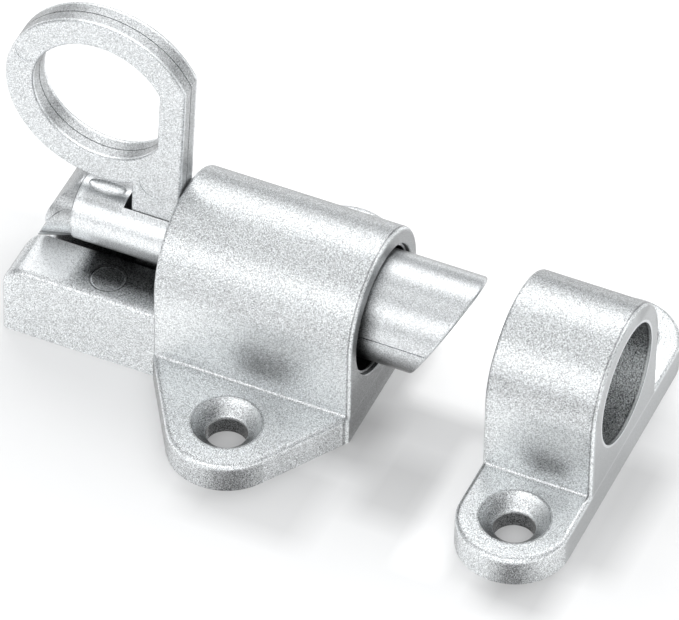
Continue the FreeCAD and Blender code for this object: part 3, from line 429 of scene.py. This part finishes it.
pin_steel = silver_coat_with_painted_light(
    "pin_steel", tone=0.62, roughness=0.25, contrast=0.15, bump=0.1, flake_scale=STEEL_GRAIN)


def dress(node, material):
    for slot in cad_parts[node].material_slots:
        slot.material = material


dress("latch_body", body_silver)
dress("keeper", keeper_silver)
dress("bolt", bolt_silver)
dress("pull_ring", ring_silver)
dress("ring_pin", pin_steel)

# Return spring as a wound coil
SPRING_BACK = -8.75
SPRING_FRONT = 7.15
SPRING_AXIS_HEIGHT = 13.1
SPRING_MEAN_RADIUS = 4.35
WIRE_RADIUS = 0.4
CLOSED_TURNS = 1.0
OPEN_TURNS = 5.0
WIRE_SIDES = 12
STEPS_PER_TURN = 40
CLOSED_GAP_SHARE = 0.02
CLOSED_RISE = 2 * WIRE_RADIUS * (1 + CLOSED_GAP_SHARE)
WELD_DISTANCE = 1e-7


def wind_spring():
    """Wire section swept round in short steps, close wound at both ends."""
    mesh = bmesh.new()
    section = bmesh.ops.create_circle(
        mesh, segments=WIRE_SIDES, radius=WIRE_RADIUS * MM, cap_ends=False)["verts"]
    turn_to_start = Matrix.Rotation(math.radians(90), 4, "X")
    start = Matrix.Translation((SPRING_MEAN_RADIUS * MM, 0, 0))
    bmesh.ops.transform(mesh, matrix=start @ turn_to_start, verts=section)
    edges = list(mesh.edges)
    length = SPRING_FRONT - SPRING_BACK - 2 * WIRE_RADIUS
    open_rise = (length - 2 * CLOSED_TURNS * CLOSED_RISE) / OPEN_TURNS
    for turns, rise in ((CLOSED_TURNS, CLOSED_RISE), (OPEN_TURNS, open_rise), (CLOSED_TURNS, CLOSED_RISE)):
        steps = int(turns * STEPS_PER_TURN)
        step_rise = rise * turns * MM / steps
        swept = bmesh.ops.spin(
            mesh, geom=edges, axis=(0, 0, 1), cent=(0, 0, 0), dvec=(0, 0, step_rise),
            angle=2 * math.pi * turns, steps=steps, use_merge=False)["geom_last"]
        edges = [item for item in swept if isinstance(item, bmesh.types.BMEdge)]
    bmesh.ops.remove_doubles(mesh, verts=mesh.verts, dist=WELD_DISTANCE)
    open_edges = [edge for edge in mesh.edges if edge.is_boundary]
    bmesh.ops.holes_fill(mesh, edges=open_edges, sides=0)
    bmesh.ops.recalc_face_normals(mesh, faces=mesh.faces)
    lay_along_x = Matrix.Rotation(math.radians(90), 4, "Y")
    place = Matrix.Translation(Vector((SPRING_BACK + WIRE_RADIUS, 0, SPRING_AXIS_HEIGHT)) * MM)
    bmesh.ops.transform(mesh, matrix=place @ lay_along_x, verts=mesh.verts)
    data = bpy.data.meshes.new("spring_coil")
    mesh.to_mesh(data)
    mesh.free()
    for face in data.polygons:
        face.use_smooth = True
    coil = bpy.data.objects.new("spring_coil", data)
    scene.collection.objects.link(coil)
    data.materials.append(wire_steel)
    return coil


spring = wind_spring()
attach(spring, "latch")
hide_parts("return_spring")
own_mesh(spring)

# Floor, a pale sweep that stays white in view and takes the object's shadow, with painted shadow and
# painted light in places
FLOOR_SIZE = 3.0
FLOOR_DROP = 0.01 * MM
floor_mesh = bmesh.new()
bmesh.ops.create_grid(floor_mesh, x_segments=1, y_segments=1, size=FLOOR_SIZE)
floor_data = bpy.data.meshes.new("floor")
floor_mesh.to_mesh(floor_data)
floor_mesh.free()
floor = bpy.data.objects.new("floor", floor_data)
scene.collection.objects.link(floor)
floor.location.z = -FLOOR_DROP

FLOOR_TONE = 0.8
CAMERA_GLOW = 0.08
MIRROR_GLOW = 0.45
# Rows as above: painted light, where the floor glows clearer beyond and between latch and keeper, and
# painted shadow, the deeper shade before each of them
PAINTED_FLOOR_LIGHT = (
    ((-900.0, 8.0, -1.0), (900.0, 900.0, 1.0), (5.0, 9.0, 0.1), 4.0),
    ((12.8, -1.6, -1.0), (28.0, 16.0, 1.0), (2.4, 3.0, 0.1), 4.5),
    ((21.5, -24.0, -1.0), (28.5, -1.0, 1.0), (2.0, 3.0, 0.1), 3.0),
)
PAINTED_FLOOR_SHADOW = (
    ((7.0, -14.0, -1.0), (16.5, -1.5, 1.0), (3.5, 3.5, 0.1), 0.68),
    ((13.0, -19.5, -1.0), (24.5, -6.0, 1.0), (4.0, 4.0, 0.1), 0.76),
    ((-3.0, -26.5, -1.0), (14.5, -11.5, 1.0), (4.0, 3.5, 0.1), 0.8),
    ((30.5, -26.0, -1.0), (41.5, -14.0, 1.0), (3.5, 3.5, 0.1), 0.68),
    ((36.5, -18.0, -1.0), (45.5, 4.0, 1.0), (3.5, 4.0, 0.1), 0.76),
)


def make_floor_white():
    material, tree, output = new_material("floor_white")
    place = tree.nodes.new("ShaderNodeTexCoord").outputs["Object"]
    # Painted shadow: the floor's colour is darkened before latch and keeper
    tone = compute(tree, "MULTIPLY", multiply_shades(tree, place, PAINTED_FLOOR_SHADOW), FLOOR_TONE)
    cover = add_node(tree, "ShaderNodeBsdfDiffuse", Color=tone)
    # The glow shows to the camera and in mirrors only, and lights nothing else
    paths = tree.nodes.new("ShaderNodeLightPath").outputs
    seen = compute(tree, "MAXIMUM", paths["Is Camera Ray"], paths["Is Transmission Ray"])
    # Painted light: the glow is stronger beyond and between latch and keeper
    clear = compute(tree, "MULTIPLY", multiply_shades(tree, place, PAINTED_FLOOR_LIGHT), CAMERA_GLOW)
    level = compute(tree, "MULTIPLY", seen, clear)
    mirrored = compute(tree, "MULTIPLY_ADD", paths["Is Glossy Ray"], MIRROR_GLOW, level)
    glow = add_node(tree, "ShaderNodeEmission", Strength=mirrored)
    both = tree.nodes.new("ShaderNodeAddShader")
    feed(tree, cover.outputs["BSDF"], both.inputs[0])
    feed(tree, glow.outputs["Emission"], both.inputs[1])
    feed(tree, both.outputs["Shader"], output.inputs["Surface"])
    return material


floor_data.materials.append(make_floor_white())

# Studio: an even pale room with three long soft boxes along the object
ROOM_LEVEL = 0.55
ROOM_TINT = (0.97, 0.985, 1.0, 1)
world = bpy.data.worlds.new("studio")
world.use_nodes = True
background = world.node_tree.nodes["Background"]
background.inputs["Color"].default_value = ROOM_TINT
background.inputs["Strength"].default_value = ROOM_LEVEL
scene.world = world
BOX_DISTANCE = 1.2
BOX_LENGTH = 2.4


def soft_box(name, lean, spread, brightness):
    """Long area lamp over the object. Lean is its angle from straight up towards the near side,
    spread the half angle that it covers and brightness how it looks in a mirror."""
    width = 2 * BOX_DISTANCE * math.tan(math.radians(spread))
    data = bpy.data.lights.new(name, "AREA")
    data.shape = "RECTANGLE"
    data.size = BOX_LENGTH
    data.size_y = width
    data.energy = brightness * math.pi * BOX_LENGTH * width
    lamp = bpy.data.objects.new(name, data)
    scene.collection.objects.link(lamp)
    angle = math.radians(lean)
    back = Vector((0, -math.sin(angle), math.cos(angle)))
    along = Vector((1, 0, 0))
    turn = Matrix((along, back.cross(along), back)).transposed().to_4x4()
    lamp.matrix_world = Matrix.Translation(back * BOX_DISTANCE) @ turn


soft_box("far_box", lean=-38, spread=18, brightness=1.75)
soft_box("top_box", lean=10, spread=14, brightness=0.75)
soft_box("near_box", lean=57, spread=17, brightness=1.5)
